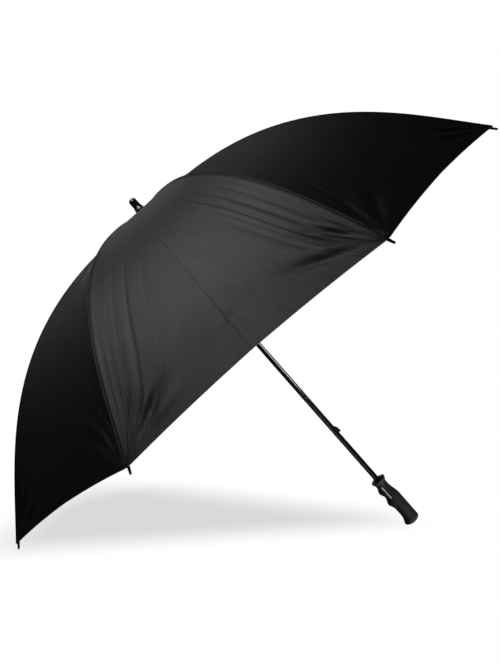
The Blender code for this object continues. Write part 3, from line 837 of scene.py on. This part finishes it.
def canopy(k):
    rib_group = "rib_group_%d" % (k + 1)
    for part, (_, _, keep) in RINGS.items():
        made = sheet(k, part)
        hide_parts("gore_%d_left" % (k + 1), "gore_%d_right" % ((k - 1) % RIBS + 1))
        if keep is None:
            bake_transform(made)
            continue
        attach(made, "rib_end_group_%d" % (k + 1) if part == "lower" else rib_group)
        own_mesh(made)


for rib_number in range(RIBS):
    canopy(rib_number)


# ---------------------------------------------------------------- outer ribs and ties
ROD_R, ROD_R_TIP = 0.0020, 0.0012
ROD_SIDES = 14
SLEEVE_HALF = 0.034  # the sleeve over the join, each way from the flex
SLEEVE_R, SLEEVE_R_END = 0.00262, 0.00235

TIE_TURNS, TIE_STEPS, THREAD_SIDES = 3, 18, 6
TIE_LENGTH = 0.0024
TIE_HALF_WIDTH, TIE_HALF_HEIGHT, TIE_RAISE = 0.0027, 0.0034, 0.0006
THREAD_R = 0.00035


def by_axis(k, r, z, heading, along, out, aside):
    """A point placed from (r, z) on the rib's axis, in the axis's own directions."""
    c, s = math.cos(heading), math.sin(heading)
    return on_rib(k, r + along * c - out * s, z + along * s + out * c, aside)


def rod_radius(arc):
    if abs(abs(arc - FLEX_ARC) - SLEEVE_HALF) < 1e-6:
        return SLEEVE_R_END
    if arc < FLEX_ARC + SLEEVE_HALF:
        return SLEEVE_R
    return ROD_R + (ROD_R_TIP - ROD_R) * (arc - FLEX_ARC) / (TIP_ARC - FLEX_ARC)


def rod(k):
    """The sleeve at the flex, and one bending rod from there to the tip."""
    sleeve = np.linspace(FLEX_ARC - SLEEVE_HALF, FLEX_ARC + SLEEVE_HALF, 18)
    arcs = np.concatenate([sleeve, np.linspace(FLEX_ARC + 0.045, TIP_ARC, 34)])
    r, z = rib_axis(arcs)
    heading = np.arctan2(np.gradient(z, arcs), np.gradient(r, arcs))
    loops = []
    for i, arc in enumerate(arcs):
        radius = rod_radius(arc)
        loops.append([
            by_axis(k, r[i], z[i], heading[i], 0.0, radius * math.cos(q), radius * math.sin(q))
            for q in angles(ROD_SIDES)
        ])
    made = make("rib_rod_%d" % (k + 1), *skin(loops), MATERIALS["rib"])
    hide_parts("rib_outer_%d" % (k + 1))
    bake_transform(made)


def tie(k, arc, number, body):
    """A few turns of thread that hold the cloth's seam to the rib: an upright oval coil."""
    r, z = map(float, rib_axis(arc))
    next_r, next_z = map(float, rib_axis(arc + 0.001))
    heading = math.atan2(next_z - z, next_r - r)
    loops = []
    count = TIE_TURNS * TIE_STEPS
    for i in range(count + 1):
        q = 2 * math.pi * i / TIE_STEPS
        along = -TIE_LENGTH / 2 + TIE_LENGTH * i / count
        aside = TIE_HALF_WIDTH * math.cos(q)
        out = TIE_RAISE + TIE_HALF_HEIGHT * math.sin(q)
        # the oval's outward direction
        run_aside, run_out = -TIE_HALF_WIDTH * math.sin(q), TIE_HALF_HEIGHT * math.cos(q)
        length = math.hypot(run_aside, run_out)
        normal_aside, normal_out = run_out / length, -run_aside / length
        loops.append([
            by_axis(
                k, r, z, heading,
                along=along + THREAD_R * math.sin(p),
                out=out + THREAD_R * math.cos(p) * normal_out,
                aside=aside + THREAD_R * math.cos(p) * normal_aside,
            )
            for p in angles(THREAD_SIDES)
        ])
    made = make("tie_%d_%d" % (k + 1, number), *skin(loops), MATERIALS["thread"])
    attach(made, body)


for rib_number in range(RIBS):
    rod(rib_number)
    tie(rib_number, 0.205, 1, "rib_group_%d" % (rib_number + 1))
    tie(rib_number, 0.600, 2, "rib_end_group_%d" % (rib_number + 1))

# ---------------------------------------------------------------- grip
GRIP_RIM, GRIP_TOP, GRIP_BORE, GRIP_MOUTH = 0.1268, 0.1312, 0.0066, 0.0012
GRIP_BORE_END = 0.0220
GRIP_SIDES = 72
GRIP_FINGER, GRIP_PALM = 0.0128, 0.0134  # least half-depths, towards -X and +X
FINGER_SWELLS = ((0.0054, 0.0990, 0.0095), (0.0058, 0.0665, 0.0105), (0.0062, 0.0045, 0.0115))
PALM_SWELL, SIDE_SWELL = 0.0055, 0.0026
SWELL_TOP, SWELL_RUN = 0.1070, 0.035
RIM_FLARE = (0.0044, 0.0054, 0.0048)  # finger, palm, side
RIM_FLARE_WIDTH = 0.0072
GRIP_ROUND = 0.0080  # height of the rounded lower end
# rows of the rounded lower end
GRIP_LOW_ROWS = (0.0, 0.0003, 0.0009, 0.0018, 0.0030, 0.0045, 0.0062, GRIP_ROUND)
# share of the rim's size, share of the way from the rim to the top
GRIP_SHOULDER = ((0.985, 0.03), (0.955, 0.10), (0.80, 0.42), (0.62, 0.80))


def grip_half(z):
    """Half-depths on the finger and palm sides, and half-width."""
    finger = GRIP_FINGER
    for high, at, wide in FINGER_SWELLS:
        finger += high * bell(z, at, wide)
    swell = ease((SWELL_TOP - z) / SWELL_RUN)
    sizes = (finger, GRIP_PALM + PALM_SWELL * swell, GRIP_PALM + SIDE_SWELL * swell)
    flare = bell(z, GRIP_RIM, RIM_FLARE_WIDTH)
    low = 1.0 if z > GRIP_ROUND else math.sqrt(1 - 0.62 * ((GRIP_ROUND - z) / GRIP_ROUND) ** 2)
    return [(size + extra * flare) * low for size, extra in zip(sizes, RIM_FLARE)]


def grip_loop(finger, palm, side, z):
    return [
        ((palm if math.cos(t) > 0 else finger) * math.cos(t), side * math.sin(t), z)
        for t in angles(GRIP_SIDES, shift=0.5)
    ]


def grip():
    heights = [*GRIP_LOW_ROWS, *np.linspace(0.0095, 0.1225, 92), *np.linspace(0.1232, GRIP_RIM, 8)]
    loops = [grip_loop(*grip_half(z), z) for z in heights]
    for share, up in GRIP_SHOULDER:
        sizes = [size * share for size in grip_half(GRIP_RIM)]
        loops.append(grip_loop(*sizes, GRIP_RIM + (GRIP_TOP - GRIP_RIM) * up))
    for radius, z in (
        (GRIP_BORE + GRIP_MOUTH, GRIP_TOP),
        (GRIP_BORE, GRIP_TOP - GRIP_MOUTH),
        (GRIP_BORE, GRIP_BORE_END),
    ):
        loops.append(grip_loop(radius, radius, radius, z))
    made = make("grip", *skin(loops), MATERIALS["grip_marked"], sharp_degrees=38.0)
    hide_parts("handle_grip")
    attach(made, "shaft_group")


grip()

# ---------------------------------------------------------------- camera
AIM_Z, AIM_SIDE = 0.56679, -0.04156
CAMERA_DISTANCE = 1.6709
TILT, YAW, ROLL = 0.060697, 0.043026, 0.722812
SENSOR_MM, LENS_MM = 36.0, 40.0713
SHIFT_X, SHIFT_Y = 0.02040, 0.01937

level_right = Vector((math.cos(YAW), math.sin(YAW), 0))
level_back = Vector((math.sin(YAW), -math.cos(YAW), 0))
# from the aim to the camera
CAMERA_BACK = level_back * math.cos(TILT) + Vector((0, 0, 1)) * math.sin(TILT)
unrolled_up = -level_back * math.sin(TILT) + Vector((0, 0, 1)) * math.cos(TILT)
CAMERA_RIGHT = level_right * math.cos(ROLL) - unrolled_up * math.sin(ROLL)
CAMERA_UP = level_right * math.sin(ROLL) + unrolled_up * math.cos(ROLL)


def turn_axes(target, x_axis, y_axis, z_axis):
    target.rotation_mode = "QUATERNION"
    target.rotation_quaternion = Matrix((x_axis, y_axis, z_axis)).transposed().to_quaternion()


def camera():
    data = bpy.data.cameras.new("camera")
    made = bpy.data.objects.new("camera", data)
    bpy.context.scene.collection.objects.link(made)
    made.location = Vector((0, 0, AIM_Z)) + level_right * AIM_SIDE + CAMERA_BACK * CAMERA_DISTANCE
    turn_axes(made, CAMERA_RIGHT, CAMERA_UP, CAMERA_BACK)
    data.sensor_width, data.lens = SENSOR_MM, LENS_MM
    data.shift_x, data.shift_y = SHIFT_X, SHIFT_Y
    data.clip_start, data.clip_end = 0.02, 60.0
    bpy.context.scene.camera = made


camera()


# ---------------------------------------------------------------- floor
def floor_material():
    """A pale floor, seen from above only, with a painted soft shadow: a wedge that opens to the left,
    as dark as the umbrella covers each point; it is painted into the floor's glow, no lamp casts it."""
    s = shader_for("pale_floor")
    s.tree.nodes.clear()
    x, y = s.node("SeparateXYZ", Vector=s.out("TexCoord", "Object")).outputs[:2]
    # share of the wedge's length, to the left; its far and near edges, and how soft each is
    left = s.math("DIVIDE", s.product(x, -1.0), 0.80)
    far = s.scaled(left, by=0.510, plus=0.092)
    near = s.scaled(left, by=-0.230, plus=0.060)
    near_soft = s.scaled(left, by=-0.005, plus=0.1215)
    far_soft = s.scaled(left, by=0.015, plus=0.190)

    def edge(value, span):
        return s.smooth(value, low=s.product(span, -1.0), high=span)

    inside_far = edge(s.math("SUBTRACT", far, y), far_soft)
    inside_near = edge(s.math("SUBTRACT", y, near), near_soft)
    right_end = s.smooth(left, low=-0.12, high=0.093)
    left_end = s.smooth(left, low=1.25, high=1.02)
    openness = s.out("AmbientOcclusion", "AO", Distance=1.2, samples=8)
    covered = s.product(s.math("SUBTRACT", 0.93, openness), 6.8)
    covered = s.math("MINIMUM", s.math("MAXIMUM", covered, 0.0), 1.0)
    # painted shadow: the wedge, darkened where the umbrella covers the floor
    shade = s.product(inside_far, inside_near, right_end, left_end, covered)
    darkest = 0.305
    light = s.math("SUBTRACT", 1.0, s.product(shade, darkest))

    from_above = s.math("SUBTRACT", 1.0, s.out("NewGeometry", "Backfacing"))
    shown = s.product(s.out("LightPath", "Is Camera Ray"), from_above)
    both = s.node("MixShader")
    s.put(both.inputs[0], shown)
    s.put(both.inputs[1], s.out("BsdfTransparent"))
    s.put(both.inputs[2], s.out("Emission", Color=light))
    s.node("OutputMaterial", Surface=both.outputs[0])
    return s.owner


def floor():
    """The plane the handle's end and two rib tips rest on: x runs right in the camera's view,
    y away from the camera and z up in the view."""
    left, width, columns = -1.15, 1.75, 14
    near, depth, rows = -0.55, 1.45, 12
    drop = 0.0165  # below the origin
    across = columns + 1
    xs = [left + width * i / columns for i in range(across)]
    ys = [near + depth * j / rows for j in range(rows + 1)]
    corners = [j * across + i for j in range(rows) for i in range(columns)]
    mesh = bpy.data.meshes.new("floor")
    mesh.from_pydata(
        [(x, y, 0.0) for y in ys for x in xs],
        [],
        [(a, a + 1, a + across + 1, a + across) for a in corners],
    )
    made = link_mesh("floor", mesh, floor_material())
    turn_axes(made, CAMERA_RIGHT, -CAMERA_BACK, CAMERA_UP)
    made.location = -CAMERA_UP * drop


floor()


# ---------------------------------------------------------------- world and lights
def white_world():
    """White to the camera, almost dark to everything else."""
    world = bpy.data.worlds.new("world")
    bpy.context.scene.world = world
    s = Shader(world)
    strength = s.node("Mix", data_type="FLOAT")
    s.put(strength.inputs[0], s.out("LightPath", "Is Camera Ray"))
    s.put(strength.inputs[2], 0.004)
    s.put(strength.inputs[3], 1.0)
    background = s.tree.nodes["Background"]
    s.fill(background, Strength=strength.outputs[0], Color=(1, 1, 1, 1))


white_world()

LIGHT_COLOUR = (1.0, 0.945, 0.970)
CANOPY_AIM_Z = 0.72
# strip lights over the ferrule: degrees turned towards the back, watts
STRIPS = ((-38, 3.8), (-18, 9.8), (0, 5.3), (18, 0.6), (50, 1.4))
# the other tables: name, direction, distance, width, length, watts, height aimed at on the axis
WINGS = [
    light
    for side in (-1, 1)
    for light in (
        ("wing_high_%d" % side, (0.35 * side, 0.70, 0.62), 2.8, 0.8, 0.8, 0.5, CANOPY_AIM_Z),
        ("wing_low_%d" % side, (0.55 * side, 0.35, 0.75), 2.8, 0.8, 0.8, 0.75, CANOPY_AIM_Z),
    )
]
# the white room below and behind, which the outer face of the front panels doesn't see
ROOM = [
    ("under", (0.15, -0.30, -0.94), 2.6, 1.6, 1.6, 44.0, 0.6),
    ("back", (-0.25, 0.95, 0.10), 3.0, 1.4, 1.4, 20.0, CANOPY_AIM_Z),
    ("side_-1", (-0.55, 0.84, 0.04), 3.0, 1.2, 1.2, 12.0, CANOPY_AIM_Z),
    ("side_1", (0.55, 0.84, 0.04), 3.0, 1.2, 1.2, 12.0, CANOPY_AIM_Z),
]
# lights on the hard parts alone, which leave the cloth's balance as it is
HARD_ONLY = [
    ("shaft_line", (0.80, -0.59, -0.10), 2.0, 0.38, 0.40, 5.0, 0.49),
    ("shaft_left", (-0.60, -0.78, -0.20), 2.2, 1.1, 0.7, 2.0, 0.12),
    ("grip_front", (0.15, -0.85, -0.50), 2.0, 0.8, 0.8, 1.5, 0.08),
    ("ferrule_side", (0.15, -0.75, 0.64), 1.4, 0.30, 0.30, 4.0, 0.95),
    ("ferrule_top", (0.30, -0.35, 0.89), 1.4, 0.42, 0.42, 16.0, 0.95),
]
HARD_NAMES = ("shaft", "grip", "ferrule", "ferrule_collar", "catch_lower", "catch_upper")


def hard_parts():
    found = bpy.data.collections.new("hard_parts")
    for item in list(bpy.context.scene.objects):
        hard = item.name in HARD_NAMES or item.name.startswith("rib_tip")
        if item.type == "MESH" and hard:
            found.objects.link(item)
    return found


def softbox(name, direction, distance, width, length, watts, aim_z, only=None):
    data = bpy.data.lights.new(name, "AREA")
    data.shape, data.energy = "RECTANGLE", watts
    data.size, data.size_y = width, length
    data.color = LIGHT_COLOUR
    made = bpy.data.objects.new(name, data)
    toward = Vector(direction).normalized()
    made.location = Vector((0, 0, aim_z)) + toward * distance
    made.rotation_mode = "QUATERNION"
    made.rotation_quaternion = (-toward).to_track_quat("-Z", "Y")
    made.visible_camera = False
    bpy.context.scene.collection.objects.link(made)
    if only:
        made.light_linking.receiver_collection = only


hard_collection = hard_parts()
for degrees, strip_watts in STRIPS:
    turned = math.radians(degrees)
    softbox(
        "strip_%d" % (degrees + 90), (0.0, math.sin(turned), math.cos(turned)),
        distance=2.6, width=0.8, length=0.9, watts=strip_watts, aim_z=CANOPY_AIM_Z,
    )
for row in WINGS + ROOM:
    softbox(*row)
for row in HARD_ONLY:
    softbox(*row, only=hard_collection)

bpy.context.scene.view_settings.view_transform = "Standard"
bpy.context.scene.view_settings.look = "None"
